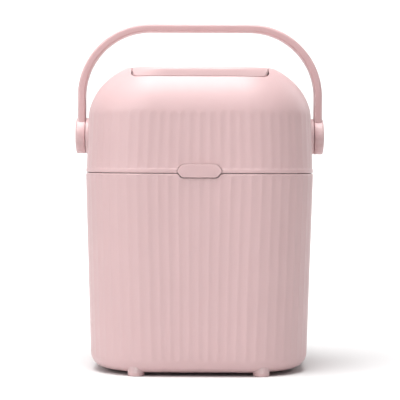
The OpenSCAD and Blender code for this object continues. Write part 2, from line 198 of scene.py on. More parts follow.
def mirrored(part):
    verts, faces = part
    return verts * np.array([-1, 1, 1]), [tuple(reversed(face)) for face in faces]


def on_axis(a, b, h, axis):
    """Points with offsets a and b beside an axis, at h along it."""
    h = np.full(len(a), float(h))
    if axis == "x":
        return np.column_stack([h, a, b])
    if axis == "y":
        return np.column_stack([b, h, a])
    return np.column_stack([a, b, h])


def lathe(profile, axis="z", centre=(0, 0, 0), count=64):
    """A solid of revolution from (radius, height) points, with a flat face at each end."""
    angle = np.arange(count) * 2 * math.pi / count
    rings = [on_axis(r * np.cos(angle), r * np.sin(angle), h, axis) for r, h in profile]
    verts, faces = stack(rings)
    return verts + np.array(centre), faces


def ring_lathe(profile, axis="z", centre=(0, 0, 0), count=64):
    """A ring of revolution: the profile is a closed loop clear of the axis."""
    angle = np.arange(count) * 2 * math.pi / count
    rings = [on_axis(r * np.cos(angle), r * np.sin(angle), h, axis) for r, h in profile]
    verts, faces = stack(rings, wrap=True)
    return verts + np.array(centre), faces


def arc(cx, cy, r, start, end, steps):
    """Points of an arc from start to end, in degrees."""
    angles = [math.radians(start + (end - start) * k / steps) for k in range(steps + 1)]
    return [(cx + r * math.cos(t), cy + r * math.sin(t)) for t in angles]


def rounded(points, radii, steps=6):
    """A polygon with its corners rounded to the given radii."""
    out = []
    count = len(points)
    for k in range(count):
        here = np.array(points[k], float)
        radius = radii[k] if isinstance(radii, (list, tuple)) else radii
        if radius <= 0:
            out.append(tuple(here))
            continue
        back = np.array(points[k - 1], float) - here
        ahead = np.array(points[(k + 1) % count], float) - here
        back /= np.linalg.norm(back)
        ahead /= np.linalg.norm(ahead)
        half = math.acos(max(-1, min(1, float(back @ ahead)))) / 2
        reach = radius / math.tan(half)
        middle = back + ahead
        centre = here + middle / np.linalg.norm(middle) * radius / math.sin(half)
        first = here + back * reach - centre
        last = here + ahead * reach - centre
        a0 = math.atan2(first[1], first[0])
        turn = math.atan2(last[1], last[0]) - a0
        turn = (turn + math.pi) % (2 * math.pi) - math.pi
        for step in range(steps + 1):
            angle = a0 + turn * step / steps
            out.append(tuple(centre + radius * np.array([math.cos(angle), math.sin(angle)])))
    return out


def shrink(outline, inset):
    """A counter-clockwise outline moved inwards by inset."""
    points = np.asarray(outline, float)
    before = points - np.roll(points, 1, axis=0)
    after = np.roll(points, -1, axis=0) - points
    before /= np.linalg.norm(before, axis=1)[:, None] + 1e-12
    after /= np.linalg.norm(after, axis=1)[:, None] + 1e-12
    normal = np.column_stack([-(before + after)[:, 1], (before + after)[:, 0]])
    length = np.linalg.norm(normal, axis=1)[:, None]
    normal /= length + 1e-12
    stretch = 1 / np.maximum(length[:, 0] / 2, 0.5)
    return points + normal * (inset * stretch)[:, None]


def plate(outline, low, high, axis="z", edge=0.3, steps=4):
    """An outline extruded between two heights, with rounded edges. Along Y the outline is in X and Z."""
    points = np.asarray(outline, float)
    if axis == "y":
        points = points[:, ::-1]
    area = np.sum(points[:, 0] * np.roll(points[:, 1], -1) - np.roll(points[:, 0], -1) * points[:, 1])
    if area < 0:
        points = points[::-1]
    rings = []
    for end, way in ((low, 1), (high, -1)):
        for k in range(steps + 1)[::way]:
            t = math.pi / 2 * k / steps
            ring = shrink(points, edge * (1 - math.sin(t)))
            height = end + way * edge * (1 - math.cos(t))
            rings.append(on_axis(ring[:, 0], ring[:, 1], height, axis))
    return stack(rings)


def bar_x(radius, x0, x1, y, z, edge=0.3, count=40):
    """A round bar along X with chamfered ends."""
    return lathe([(radius - edge, x0), (radius, x0 + edge), (radius, x1 - edge), (radius - edge, x1)],
                 "x", (0, y, z), count)


def sweep(path, ups, section):
    """A section of (side, up) points carried along a path. ups holds a unit vector at each point."""
    path = np.asarray(path, float)
    tangent = np.gradient(path, axis=0)
    tangent /= np.linalg.norm(tangent, axis=1)[:, None]
    rings = []
    for place, t, up in zip(path, tangent, ups):
        side = np.cross(up, t)
        side /= np.linalg.norm(side)
        rings.append([place + s * side + u * np.asarray(up) for s, u in section])
    return stack(rings)


def boolean(piece, cutter):
    """Cuts piece with cutter, which is removed."""
    modifier = piece.modifiers.new("cut", "BOOLEAN")
    modifier.operation = "DIFFERENCE"
    modifier.solver = "EXACT"
    modifier.object = cutter
    bpy.context.view_layer.update()
    graph = bpy.context.evaluated_depsgraph_get()
    mesh = bpy.data.meshes.new_from_object(piece.evaluated_get(graph))
    piece.modifiers.clear()
    piece.data = mesh
    bpy.data.objects.remove(cutter)
    return piece


def join(piece, other):
    """Adds other's mesh to piece."""
    with bpy.context.temp_override(active_object=piece, selected_editable_objects=[piece, other],
                                   object=piece, selected_objects=[piece, other]):
        bpy.ops.object.join()


def finish_piece(piece, body, slot, nodes, sharp=35):
    """Shades a piece, gives it its slot's material and hangs it on its body in place of the CAD nodes."""
    mesh = piece.data
    mesh.materials.clear()
    mesh.materials.append(MATERIALS[slot])
    mesh.shade_smooth()
    mesh.set_sharp_from_angle(angle=math.radians(sharp))
    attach(piece, body)
    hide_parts(*nodes)


# ---------------------------------------------------------------- plan of the box
class Plan:
    """Samples round a rounded rectangle, from the front centre and counter-clockwise seen from above."""

    def __init__(self, places):
        hx, hy, r = BOX_W / 2, BOX_D / 2, CORNER_R
        flat_x, flat_y, bend = hx - r, hy - r, r * math.pi / 2
        lengths = [flat_x, bend, 2 * flat_y, bend, 2 * flat_x, bend, 2 * flat_y, bend, flat_x]
        ends = np.cumsum(lengths)
        s = np.asarray(places, float) * ends[-1]
        self.part = np.minimum(np.searchsorted(ends, s, side="right"), 8)
        starts = np.concatenate([[0], ends[:-1]])
        self.u = (s - starts[self.part]) / np.asarray(lengths)[self.part]
        self.places = np.asarray(places, float)

    def at(self, hx, hy, r):
        """Points and outward normals for that size."""
        fx, fy = hx - r, hy - r
        points = np.zeros((len(self.u), 2))
        normals = np.zeros((len(self.u), 2))
        flats = {0: ((0, -hy), (fx, -hy), (0, -1)), 2: ((hx, -fy), (hx, fy), (1, 0)),
                 4: ((fx, hy), (-fx, hy), (0, 1)), 6: ((-hx, fy), (-hx, -fy), (-1, 0)),
                 8: ((-fx, -hy), (0, -hy), (0, -1))}
        bends = {1: ((fx, -fy), -90), 3: ((fx, fy), 0), 5: ((-fx, fy), 90), 7: ((-fx, -fy), 180)}
        for part, (start, end, normal) in flats.items():
            mask = self.part == part
            u = self.u[mask][:, None]
            points[mask] = np.array(start) * (1 - u) + np.array(end) * u
            normals[mask] = normal
        for part, (centre, first) in bends.items():
            mask = self.part == part
            t = np.radians(first + 90 * self.u[mask])
            normals[mask] = np.column_stack([np.cos(t), np.sin(t)])
            points[mask] = np.array(centre) + r * normals[mask]
        return points, normals


FLUTED = Plan([(k + f) / FLUTES for k in range(FLUTES) for f in FLUTE_STEPS])
PLAIN = Plan(np.arange(192) / 192)


def flute_depths():
    """Depth of the concave flutes at the samples of FLUTED: 0 at a crest, full in the middle."""
    soft = 0.05
    wave = np.abs(np.sin(math.pi * FLUTES * FLUTED.places))
    return FLUTE_DEPTH * (np.sqrt(wave ** 2 + soft ** 2) - soft) / (math.sqrt(1 + soft ** 2) - soft)


FLUTE = flute_depths()


def deeper(a, b, soft=0.06):
    """The larger of two insets, with a soft crossing."""
    return (a + b + np.sqrt((a - b) ** 2 + soft ** 2)) / 2


def body_size(z):
    lean = (SEAM_Z - z) * math.tan(BODY_DRAFT)
    return BOX_W / 2 - lean, BOX_D / 2 - lean, CORNER_R


def dome_inset(z):
    if z <= DOME_Z:
        return 0.0
    return DOME_A * (1 - math.sqrt(1 - ((z - DOME_Z) / DOME_B) ** 2))


def lid_size(z):
    lean = LID_STEP + (z - SEAM_Z) * math.tan(LID_DRAFT)
    inset = dome_inset(z)
    return (BOX_W / 2 - lean - inset, BOX_D / 2 - lean - DOME_DEPTH_RATIO * inset,
            CORNER_R - DOME_CORNER_RATIO * inset)


def level(plan, size, z, inset):
    """A ring of the plan at height z, moved inwards by inset, one value or one for each sample."""
    points, normals = plan.at(*size)
    points = points - normals * np.reshape(inset, (-1, 1))
    return np.column_stack([points, np.full(len(points), float(z))])


def inner_level(plan, size, z, inset):
    """A ring inset as a true offset of the plan, for walls far inside the outer face."""
    hx, hy, r = size
    return level(plan, (hx - inset, hy - inset, r - inset), z, 0)


def slab(x0, x1, y0, y1, r, z, steps=8):
    """A ring round a rounded rectangle between two corners."""
    points = (arc(x1 - r, y0 + r, r, -90, 0, steps) + arc(x1 - r, y1 - r, r, 0, 90, steps)
              + arc(x0 + r, y1 - r, r, 90, 180, steps) + arc(x0 + r, y0 + r, r, 180, 270, steps))
    return np.array([(x, y, z) for x, y in points])


# ---------------------------------------------------------------- materials
def shader(name, roughness, ior=1.5, metallic=0.0):
    material = bpy.data.materials.new(name)
    material.use_nodes = True
    tree = material.node_tree
    principled = tree.nodes["Principled BSDF"]
    principled.inputs["Roughness"].default_value = roughness
    principled.inputs["IOR"].default_value = ior
    principled.inputs["Metallic"].default_value = metallic
    return material, tree, principled


def node(tree, kind, **values):
    item = tree.nodes.new(kind)
    for key, value in values.items():
        setattr(item, key, value)
    return item


def noise(tree, coords, scale, detail=2.0, rough=0.5):
    item = node(tree, "ShaderNodeTexNoise")
    item.inputs["Scale"].default_value = scale
    item.inputs["Detail"].default_value = detail
    item.inputs["Roughness"].default_value = rough
    tree.links.new(coords, item.inputs["Vector"])
    return item.outputs["Fac"]


def spread(tree, value, low, high, start=0.3, end=0.7):
    """Maps a noise value to a range."""
    item = node(tree, "ShaderNodeMapRange")
    item.inputs["From Min"].default_value = start
    item.inputs["From Max"].default_value = end
    item.inputs["To Min"].default_value = low
    item.inputs["To Max"].default_value = high
    tree.links.new(value, item.inputs["Value"])
    return item.outputs["Result"]


def two_tones(tree, value, first, second):
    item = node(tree, "ShaderNodeMix", data_type="RGBA")
    item.inputs["A"].default_value = (*first, 1)
    item.inputs["B"].default_value = (*second, 1)
    tree.links.new(value, item.inputs["Factor"])
    return item.outputs["Result"]


def wear_and_crest_highlight(tree, colour, patches):
    """Lightens a colour a little, in patches, where the surface has an outward edge: partly edge wear, partly
    a painted highlight along the crests of the flutes.
    """
    edge = node(tree, "ShaderNodeNewGeometry").outputs["Pointiness"]
    amount = node(tree, "ShaderNodeMath", operation="MULTIPLY")
    tree.links.new(spread(tree, edge, 0, 0.35, 0.53, 0.62), amount.inputs[0])
    tree.links.new(spread(tree, patches, 0.3, 1), amount.inputs[1])
    item = node(tree, "ShaderNodeMix", data_type="RGBA")
    # the pale tone: worn edges, and a painted highlight on the flute crests
    item.inputs["B"].default_value = (0.9, 0.84, 0.83, 1)
    tree.links.new(colour, item.inputs["A"])
    tree.links.new(amount.outputs["Value"], item.inputs["Factor"])
    return item.outputs["Result"]


def bump(tree, heights, principled):
    """Chains bumps of (height, strength, distance in metres) into the shader's normal."""
    last = None
    for height, strength, distance in heights:
        item = node(tree, "ShaderNodeBump")
        item.inputs["Strength"].default_value = strength
        item.inputs["Distance"].default_value = distance
        tree.links.new(height, item.inputs["Height"])
        if last is not None:
            tree.links.new(last, item.inputs["Normal"])
        last = item.outputs["Normal"]
    tree.links.new(last, principled.inputs["Normal"])


def moulded_plastic(name, light, dark, roughness, texture=0.25, subsurface=0.0, radius=(1, 1, 1)):
    """Injection-moulded plastic: faint flow marks, fine orange peel and a spark-eroded grain."""
    material, tree, principled = shader(name, roughness, 1.49)
    coords = node(tree, "ShaderNodeTexCoord").outputs["Object"]
    flow = noise(tree, coords, 14, 3)
    grain = noise(tree, coords, 2600, 2)
    peel = noise(tree, coords, 420, 2)
    # outward edges lightened in patches: wear, and a painted highlight along the flute crests
    colour = wear_and_crest_highlight(tree, two_tones(tree, spread(tree, flow, 0, 1), light, dark), peel)
    tree.links.new(colour, principled.inputs["Base Color"])
    tree.links.new(spread(tree, peel, roughness - 0.05, roughness + 0.05), principled.inputs["Roughness"])
    bump(tree, [(peel, texture, 0.00006), (grain, texture, 0.00003)], principled)
    if subsurface > 0:
        principled.inputs["Subsurface Weight"].default_value = subsurface
        principled.inputs["Subsurface Radius"].default_value = radius
        principled.inputs["Subsurface Scale"].default_value = 0.003
    return material


def silicone(name, light, dark):
    material, tree, principled = shader(name, 0.5, 1.41)
    coords = node(tree, "ShaderNodeTexCoord").outputs["Object"]
    cloud = noise(tree, coords, 40, 4)
    dust = noise(tree, coords, 1500, 2)
    tree.links.new(two_tones(tree, spread(tree, cloud, 0, 1), light, dark), principled.inputs["Base Color"])
    tree.links.new(spread(tree, dust, 0.42, 0.6), principled.inputs["Roughness"])
    bump(tree, [(dust, 0.3, 0.00004)], principled)
    principled.inputs["Subsurface Weight"].default_value = 0.3
    principled.inputs["Subsurface Radius"].default_value = (1, 0.95, 0.9)
    principled.inputs["Subsurface Scale"].default_value = 0.002
    return material


def turned_steel(name):
    """Stainless steel with fine lines across X, which run round the pins and the hub parts."""
    material, tree, principled = shader(name, 0.28, 2.5, 1.0)
    coords = node(tree, "ShaderNodeTexCoord").outputs["Object"]
    stretch = node(tree, "ShaderNodeMapping")
    stretch.inputs["Scale"].default_value = (6, 1, 1)
    tree.links.new(coords, stretch.inputs["Vector"])
    lines = noise(tree, stretch.outputs["Vector"], 1800, 3)
    patch = noise(tree, coords, 160, 2)
    colour = two_tones(tree, spread(tree, patch, 0, 1), (0.55, 0.56, 0.58), (0.66, 0.66, 0.67))
    tree.links.new(colour, principled.inputs["Base Color"])
    tree.links.new(spread(tree, lines, 0.2, 0.36), principled.inputs["Roughness"])
    bump(tree, [(lines, 0.2, 0.00002)], principled)
    return material


MATERIALS = {
    "pink_shell": moulded_plastic("pink_plastic", (0.69, 0.480, 0.483), (0.67, 0.464, 0.468), 0.42,
                                  subsurface=0.05, radius=(1, 0.7, 0.65)),
    "pink_handle": moulded_plastic("handle_plastic", (0.66, 0.435, 0.44), (0.64, 0.42, 0.425), 0.4,
                                   subsurface=0.05, radius=(1, 0.7, 0.65)),
    "milky_liner": moulded_plastic("milky_plastic", (0.80, 0.79, 0.76), (0.77, 0.76, 0.73), 0.46,
                                   subsurface=0.3, radius=(1, 0.95, 0.85)),
    "clear_scoop": moulded_plastic("scoop_plastic", (0.86, 0.86, 0.83), (0.83, 0.83, 0.80), 0.3,
                                   texture=0.15, subsurface=0.35, radius=(1, 0.95, 0.9)),
    "silicone_seal": silicone("clear_silicone", (0.66, 0.68, 0.69), (0.60, 0.62, 0.63)),
    "soft_foot": moulded_plastic("foot_plastic", (0.69, 0.47, 0.47), (0.66, 0.447, 0.45), 0.55, texture=0.5),
    "steel": turned_steel("stainless_steel"),
}


# ---------------------------------------------------------------- latch outline
TAB_MID_Z = SEAM_Z + 1.4


def tab_outline(gap):
    half_h = 3.8 + gap
    half_w = 13.2 + 1.3 * gap
    flat = 10.2 + 0.6 * gap
    points = [(-half_w, TAB_MID_Z), (-flat, TAB_MID_Z - half_h), (flat, TAB_MID_Z - half_h),
              (half_w, TAB_MID_Z), (flat, TAB_MID_Z + half_h), (-flat, TAB_MID_Z + half_h)]
    return rounded(points, [1.4, 3.0, 3.0, 1.4, 3.0, 3.0], 6)


def tab_cutter(gap):
    return Shape().add(plate(tab_outline(gap), -BOX_D / 2 - 3, -BOX_D / 2 + 4, "y", 0.01)).object("cutter")


def block_cutter(x0, x1, y0, y1, z0, z1):
    outline = [(x0, y0), (x1, y0), (x1, y1), (x0, y1)]
    return Shape().add(plate(outline, z0, z1, "z", 0.01, 1)).object("cutter")


def slab_cutter(box, z0, z1):
    return Shape().add(stack([slab(*box, z0), slab(*box, z1)])).object("cutter")


def knuckle(x0, x1, up):
    """Hinge barrel with its web: the body's webs run down the wall and the lid's runs up."""
    web = rounded([
        (BOX_D / 2 - 1.0, SEAM_Z + up * 11.4), (BOX_D / 2 - 0.4, SEAM_Z + up * 11.4),
        (HINGE_Y + HINGE_R * 0.86, SEAM_Z + up * HINGE_R * 0.5), (HINGE_Y, SEAM_Z),
        (HINGE_Y - HINGE_R, SEAM_Z + up * 0.7), (BOX_D / 2 - 1.0, SEAM_Z + up * 0.9)],
        [0, 2.0, 0.6, 0.3, 0.3, 0], 5)
    return [plate(web, x0 + 0.3, x1 - 0.3, "x", 0.35), bar_x(HINGE_R, x0, x1, HINGE_Y, SEAM_Z, 0.35, 48)]


# ---------------------------------------------------------------- body
def outer_body_rings():
    rings = [inner_level(FLUTED, body_size(FOOT_H), FOOT_H, inset) for inset in (32, 20, 12)]
    for k in range(13):
        t = math.radians(7.5 * k)
        z = FOOT_H + BOTTOM_R * (1 - math.cos(t))
        fillet = BOTTOM_R * (1 - math.sin(t))
        rings.append(level(FLUTED, body_size(z), z, deeper(fillet, FLUTE)))
    for z in (20, 40, 60, 80, 100, 112, RIM_Z - 1.0):
        rings.append(level(FLUTED, body_size(z), z, deeper(0.0, FLUTE)))
    for z, inset in ((RIM_Z - 0.8, 0.06), (RIM_Z - 0.4, 0.26), (RIM_Z - 0.08, 0.5), (RIM_Z, 0.66)):
        rings.append(level(FLUTED, body_size(z), z, deeper(inset, FLUTE * (1 if z < RIM_Z - 0.5 else 0.6))))
    return rings


def inner_body_rings():
    rings = []
    for z, inset in ((RIM_Z, RIM_T - 0.15), (RIM_Z - 0.15, RIM_T), (STEP_Z + 0.1, RIM_T),
                     (STEP_Z, RIM_T + 0.1), (STEP_Z, WALL - 0.1), (STEP_Z - 0.1, WALL), (60, WALL)):
        rings.append(inner_level(FLUTED, body_size(z), z, inset))
    radius = BOTTOM_R - WALL
    for k in range(6, -1, -1):
        t = math.radians(15 * k)
        z = FLOOR_Z + radius * (1 - math.cos(t))
        rings.append(inner_level(FLUTED, body_size(z), z, WALL + radius * (1 - math.sin(t))))
    return rings


FEET = ("foot_front_left", "foot_front_right", "foot_rear_left", "foot_rear_right")


def foot_place(name):
    """Centre and radius of a foot."""
    low, high = node_box(name)
    centre = ((low[0] + high[0]) / 2, (low[1] + high[1]) / 2 - box_y, 0)
    return centre, (high[0] - low[0]) / 2


def foot_bosses():
    """Short posts over the feet, which come out through the rounded bottom edge."""
    shape = Shape()
    for name in FEET:
        centre, r = foot_place(name)
        top = FOOT_H + FOOT_BOSS_H
        profile = [(r - 1, FOOT_H), (r - 0.15, FOOT_H), (r, FOOT_H + 0.15), (r, top - 0.4), (r - 0.4, top)]
        shape.add(lathe(profile, "z", centre, 56))
    posts = shape.object("posts")
    rings = [inner_level(PLAIN, body_size(z), z, inset) for z, inset in floor_levels(0.1)]
    return boolean(posts, Shape().add(stack(rings)).object("cavity"))


def floor_levels(grow):
    """Heights and insets up the inside of the body, moved into its wall by grow."""
    radius = BOTTOM_R - WALL
    out = []
    for k in range(0, 7):
        t = math.radians(15 * k)
        out.append((FLOOR_Z - grow + radius * (1 - math.cos(t)), WALL - grow + radius * (1 - math.sin(t))))
    return out + [(FLOOR_Z + 30, WALL - grow)]


def make_body():
    rings = outer_body_rings() + inner_body_rings()
    piece = Shape().add(stack(rings)).object("body_shell_fluted")
    boolean(piece, tab_cutter(BODY_TAB_GAP))
    boolean(piece, block_cutter(-6, 6, -BOX_D / 2 + 1, -BOX_D / 2 + 3, SEAM_Z - 9, SEAM_Z - 6))
    shape = Shape()
    for part in knuckle(*BODY_KNUCKLE, -1):
        shape.add(part).add(mirrored(part))
    join(piece, shape.object("knuckles"))
    join(piece, foot_bosses())
    finish_piece(piece, "base", "pink_shell", ["body_shell"])


def make_foot(name):
    centre, r = foot_place(name)
    peg_top = node_box(name)[1][2]
    profile = [(r - 1.6, 0), (r - 0.6, 0)]
    profile += [(r - 0.6 + 0.6 * math.sin(t), 0.6 - 0.6 * math.cos(t)) for t in np.radians([25, 45, 65, 90])]
    profile += [(r, FOOT_H - 0.2), (r - 0.15, FOOT_H), (FOOT_PEG_R, FOOT_H), (FOOT_PEG_R, peg_top - 0.2),
                (FOOT_PEG_R - 0.2, peg_top)]
    piece = Shape().add(lathe(profile, "z", centre, 56)).object(name + "_moulded")
    finish_piece(piece, "base", "soft_foot", [name])


def make_tub():
    def tub(z, inset):
        return inner_level(PLAIN, body_size(z), z, inset)

    def fillet(z0, radius, inset, up):
        turns = range(0, 7) if up else range(6, -1, -1)
        out = []
        for k in turns:
            t = math.radians(15 * k)
            z = z0 + radius * (1 - math.cos(t))
            out.append(tub(z, inset + radius * (1 - math.sin(t))))
        return out

    flange_z = STEP_Z + 1.8
    far_in = TUB_INSET + TUB_WALL
    rings = [tub(TUB_Z, 26)] + fillet(TUB_Z, 5, TUB_INSET, True) + [tub(60, TUB_INSET)]
    rings += [tub(STEP_Z, TUB_INSET), tub(STEP_Z, RIM_T + 0.5), tub(STEP_Z + 0.2, RIM_T + 0.3),
              tub(flange_z - 0.3, RIM_T + 0.3), tub(flange_z, RIM_T + 0.6), tub(flange_z, TUB_INSET - 0.5),
              tub(flange_z + 0.5, TUB_INSET), tub(TUB_RIM_Z - 0.5, TUB_INSET),
              tub(TUB_RIM_Z - 0.12, TUB_INSET + 0.2), tub(TUB_RIM_Z, TUB_INSET + 0.6),
              tub(TUB_RIM_Z, far_in - 0.6), tub(TUB_RIM_Z - 0.12, far_in - 0.2), tub(TUB_RIM_Z - 0.6, far_in)]
    for z in (96, 66, 36):
        rings += [tub(z + 0.5, far_in), tub(z + 0.2, far_in + 0.35)]
        rings += [tub(z - 0.2, far_in + 0.35), tub(z - 0.5, far_in)]
    rings += fillet(TUB_Z + TUB_WALL, 5 - TUB_WALL, far_in, False) + [tub(TUB_Z + TUB_WALL, 27)]
    piece = Shape().add(stack(rings)).object("powder_tub_moulded")
    front = -BOX_D / 2
    notch = (-NOTCH_HALF_W, NOTCH_HALF_W, front - 2, front + TUB_INSET - 0.2)
    boolean(piece, block_cutter(*notch, STEP_Z - 1, STEP_Z + 3))
    shape = Shape()
    ledge = [(17, BOX_D / 2 - 11.6), (27, BOX_D / 2 - 11.6), (27, BOX_D / 2 - 7.9), (17, BOX_D / 2 - 7.9)]
    for sign in (-1, 1):
        outline = rounded([(x, sign * y) for x, y in ledge], 1.0, 4)
        shape.add(plate(outline, SEAM_Z - 15.5, SEAM_Z - 13.5, "z", 0.4))
    join(piece, shape.object("ledges"))
    finish_piece(piece, "base", "milky_liner", ["powder_tub"])


def make_leveller():
    half = BOX_D / 2 - TUB_INSET - TUB_WALL - 0.6
    outline = rounded([(20.5, SEAM_Z - 13.5), (23.5, SEAM_Z - 13.5), (22.8, SEAM_Z - 6), (21.2, SEAM_Z - 6)],
                      [0.5, 0.5, 0.6, 0.6], 4)
    piece = Shape().add(plate(outline, -half, half, "y", 0.4)).object("leveller_bar_moulded")
    finish_piece(piece, "base", "milky_liner", ["leveller_bar"])


def make_pin(name, body, y, z, edge=0.2, count=32):
    """A steel pin along X with chamfered ends, as long and as thick as its CAD node."""
    low, high = node_box(name)
    radius = (high[2] - low[2]) / 2
    piece = Shape().add(bar_x(radius, low[0], high[0], y, z, edge, count)).object(name + "_turned")
    finish_piece(piece, body, "steel", [name])


# ---------------------------------------------------------------- lid
def dome_levels(top, count):
    return [DOME_Z + (top - DOME_Z) * math.sin(math.pi / 2 * k / count) for k in range(1, count + 1)]


def side_share(z, top):
    return 1 - 0.6 * max(0, (z - DOME_Z) / (top - DOME_Z)) ** 2


def outer_lid_rings():
    """From the rim band up the fluted wall and over the dome; flutes run out where the dome leans in."""
    band = 2.4
    rings = []
    for z, inset in ((LID_RIM_Z, 0.55), (LID_RIM_Z + 0.1, 0.22), (LID_RIM_Z + 0.35, 0.04),
                     (LID_RIM_Z + 0.6, 0.0), (LID_RIM_Z + band - 0.3, 0.02), (LID_RIM_Z + band, 0.1)):
        rings.append(level(FLUTED, lid_size(z), z, inset))
    for z, share in ((LID_RIM_Z + band + 0.25, 0.75), (LID_RIM_Z + band + 0.6, 1), (124, 1), (130, 1),
                     (136, 1), (142, 1), (146, 1), (DOME_Z, 1)):
        rings.append(level(FLUTED, lid_size(z), z, deeper(0.16, 0.1 + FLUTE * share)))
    for z in dome_levels(LID_TOP - 0.12, 34):
        # the flutes keep their upright floors, so they fade as the dome leans past them
        lean = dome_inset(z)
        extra = deeper(0.1 + FLUTE - lean, 0.0, 0.08) + (0.1 if lean < 0.05 else 0)
        rings.append(level(FLUTED, lid_size(z), z, extra - 0.03))
    edge = lid_size(LID_TOP - 0.12)
    for drop, inset in ((0.04, 0.35), (0.0, 0.9), (0.0, 4.0), (0.0, 12.0)):
        rings.append(inner_level(FLUTED, edge, LID_TOP - drop, inset))
    return rings


def inner_lid_rings():
    """From the crown of the cavity down to the rim."""
    rings = []
    edge = lid_size(LID_TOP)
    depth = WALL * math.sqrt(1 - side_share(LID_TOP, LID_TOP) ** 2)
    for inset in (12.0, 4.0):
        rings.append(inner_level(FLUTED, edge, LID_TOP - depth, inset))
    for z in reversed(dome_levels(LID_TOP, 14)):
        share = side_share(z, LID_TOP)
        rings.append(inner_level(FLUTED, lid_size(z), z - WALL * math.sqrt(1 - share ** 2), WALL * share))
    for z in (DOME_Z, 130, LID_RIM_Z + 0.3):
        rings.append(inner_level(FLUTED, lid_size(z), z, WALL))
    rings.append(inner_level(FLUTED, lid_size(LID_RIM_Z), LID_RIM_Z, WALL - 0.3))
    return rings


def hatch_seat():
    """The flat frame below the hatch, which follows the dome at its front and ends behind the hinge."""
    top = RECESS_Z - 0.05
    ring = inner_level(PLAIN, lid_size(HATCH_Z), top, 1.2)
    outline = []
    back = HATCH_AXIS_Y + 5
    for x, y, _ in ring:
        outline.append((max(-FRAME_HALF_W, min(FRAME_HALF_W, x)), min(back, y)))
    kept = [outline[0]]
    for point in outline[1:]:
        if math.dist(point, kept[-1]) > 0.05:
            kept.append(point)
    return plate(kept, FRAME_Z, top, "z", 0.05, 1)


def hub_pad():
    root = BOX_W / 2 - 2.4
    profile = [(HUB_R, root), (HUB_R, PAD_X - 0.35), (HUB_R - 0.1, PAD_X - 0.1), (HUB_R - 0.4, PAD_X),
               (BOSS_R + 0.02, PAD_X), (BOSS_R + 0.02, root)]
    return ring_lathe(profile, "x", PIVOT, 96)


def make_lid():
    rings = inner_lid_rings() + outer_lid_rings()
    piece = Shape().add(stack(rings)).object("lid_shell_fluted")
    recess = plate(hatch_outline(0.7, HATCH_AXIS_Y + HATCH_T + 0.35), RECESS_Z, LID_TOP + 2, "z", 0.01, 1)
    boolean(piece, Shape().add(recess).object("cutter"))
    boolean(piece, tab_cutter(LID_TAB_GAP))
    seat = Shape().add(hatch_seat()).object("seat")
    boolean(seat, slab_cutter(THROAT, FRAME_Z - 2, LID_TOP + 2))
    join(piece, seat)
    extra = Shape()
    for part in knuckle(*LID_KNUCKLE, 1):
        extra.add(part)
    lug = rounded([(-BOX_D / 2 + 1.6, LATCH_AXIS_Z - 2.6), (LATCH_AXIS_Y + LATCH_R, LATCH_AXIS_Z - 2.6),
                   (LATCH_AXIS_Y + LATCH_R, LATCH_AXIS_Z + 2.6), (-BOX_D / 2 + 1.6, LATCH_AXIS_Z + 2.6)],
                  [0, 2.2, 2.2, 0], 5)
    rib = rounded([(24, 0), (32, 0), (32, 2.4), (24, 2.4)], [0.8, 0.8, 0, 0], 4)
    bore = BOSS_R + 0.02
    fill = [(9.5, BOSS_SEAT), (9.5, BOSS_SEAT + 2), (bore, BOSS_SEAT + 2), (bore, BOSS_SEAT)]
    sides = [hub_pad(), ring_lathe(fill, "x", PIVOT, 64), plate(lug, 8.8, 11.3, "x", 0.3)]
    for sign in (-1, 1):
        outline = [(x, sign * (BOX_D / 2 - 4.4 + y)) for x, y in rib]
        sides.append(plate(outline, LINER_Z + LINER_T + 0.1, LINER_Z + 4.4, "z", 0.4))
    for part in sides:
        extra.add(part).add(mirrored(part))
    join(piece, extra.object("bosses"))
    finish_piece(piece, "lid", "pink_shell", ["lid_shell"])


def make_liner():
    notch_y = -BOX_D / 2 + 7.2

    def plate_ring(z, inset):
        return inner_level(PLAIN, lid_size(z), z, inset)

    def plug_ring(z, inset):
        return inner_level(PLAIN, body_size(z), z, inset)

    top = LINER_Z + LINER_T
    inner = PLUG_INSET + 1.6
    rings = [plate_ring(top, WALL + 5), plate_ring(top, WALL + 0.7), plate_ring(top - 0.3, WALL + 0.35),
             plate_ring(LINER_Z + 0.3, WALL + 0.3), plate_ring(LINER_Z, WALL + 0.6),
             plug_ring(LINER_Z, PLUG_INSET - 0.8), plug_ring(LINER_Z - 0.8, PLUG_INSET),
             plug_ring(PLUG_Z + 0.5, PLUG_INSET), plug_ring(PLUG_Z, PLUG_INSET + 0.5),
             plug_ring(PLUG_Z, inner - 0.4), plug_ring(PLUG_Z + 0.4, inner),
             plug_ring(LINER_Z - 1, inner), plug_ring(LINER_Z, inner + 1), plug_ring(LINER_Z, inner + 9)]
    piece = Shape().add(stack(rings[::-1])).object("lid_liner_moulded")
    boolean(piece, block_cutter(-NOTCH_HALF_W, NOTCH_HALF_W, -BOX_D / 2, notch_y, LINER_Z - 1, top + 1))
    stop = rounded([(-6, top - 1), (6, top - 1), (6, SEAM_Z + 9), (-6, SEAM_Z + 9)], [0, 0, 1.5, 1.5], 5)
    shape = Shape().add(plate(stop, -BOX_D / 2 + 9, -BOX_D / 2 + 10.5, "y", 0.3))
    join(piece, shape.object("stop"))
    finish_piece(piece, "lid", "milky_liner", ["lid_liner"])


